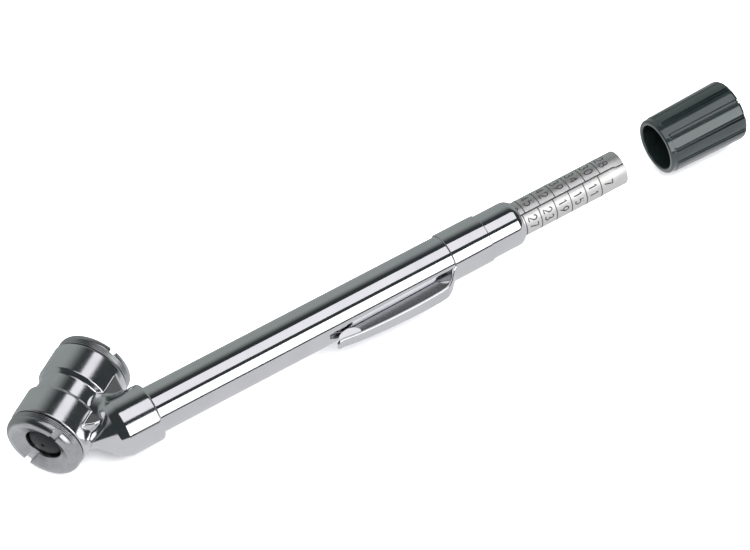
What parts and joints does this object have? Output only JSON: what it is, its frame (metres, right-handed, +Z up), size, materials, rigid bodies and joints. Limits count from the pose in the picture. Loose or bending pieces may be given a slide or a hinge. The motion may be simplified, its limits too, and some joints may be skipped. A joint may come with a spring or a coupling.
{
  "type": "tire pressure gauge",
  "caption": "Pencil tire pressure gauge with a two-foot chuck, sliding indicator bar, pocket clip and pull-off cap.",
  "frame": {"origin": "on the surface the gauge lies on, under the middle of the whole object's box", "axes": "+X along the barrel from the chuck towards the cap, +Y to the rear foot's side, +Z up"},
  "size_m": [0.1887, 0.0358, 0.0185],
  "materials": {
    "chrome": "polished chrome plate",
    "satin_nickel": "satin nickel plate with turning marks",
    "spring_steel": "drawn wire",
    "brass": "turned",
    "indicator_metal": "satin plate with stamped scale",
    "black_rubber": "moulded",
    "black_plastic": "semi-gloss moulded",
    "white_plastic": "moulded"
  },
  "bodies": {
    "gauge_body": {"chuck_body": "chrome", "front_retaining_ring": "satin_nickel", "rear_retaining_ring": "satin_nickel", "inlet_gasket": "black_rubber", "barrel_tube": "chrome", "clip_band": "chrome", "nose_bush": "brass", "calibrated_spring": "spring_steel", "front_plunger_spring": "spring_steel", "rear_plunger_spring": "spring_steel"},
    "front_valve": {"front_plunger": "brass", "front_seal": "black_rubber"},
    "rear_valve": {"rear_plunger": "brass", "rear_seal": "black_rubber"},
    "clip": {"pocket_clip": "chrome"},
    "piston": {"piston": "brass", "piston_cup_seal": "black_rubber", "piston_screw": "spring_steel"},
    "indicator": {"indicator_bar": "indicator_metal", "bar_foot": "white_plastic"},
    "cap": {"protective_cap": "black_plastic"}
  },
  "joints": [
    {"name": "piston_slide", "type": "slide", "parent": "gauge_body", "child": "piston", "axis": [1, 0, 0], "range_m": [0, 0.05], "stiffness_N_per_m": 380, "deforming": ["calibrated_spring"]},
    {"name": "indicator_slide", "type": "slide", "parent": "piston", "child": "indicator", "axis": [1, 0, 0], "range_m": [-0.0283, 0]},
    {"name": "cap_slide", "type": "slide", "parent": "indicator", "child": "cap", "axis": [1, 0, 0], "range_m": [-0.0206, 0]},
    {"name": "front_valve_press", "type": "slide", "parent": "gauge_body", "child": "front_valve", "axis": [0.8387, 0.5446, 0], "range_m": [0, 0.0024], "stiffness_N_per_m": 1500, "deforming": ["front_plunger_spring"]},
    {"name": "rear_valve_press", "type": "slide", "parent": "gauge_body", "child": "rear_valve", "axis": [-0.8387, -0.5446, 0], "range_m": [0, 0.0024], "stiffness_N_per_m": 1500, "deforming": ["rear_plunger_spring"]},
    {"name": "clip_flex", "type": "hinge", "parent": "gauge_body", "child": "clip", "pos_m": [0.01325, -0.01497, 0.00925], "axis": [0, 0, 1], "range_deg": [0, 5], "stiffness_Nm_per_rad": 6}
  ]
}
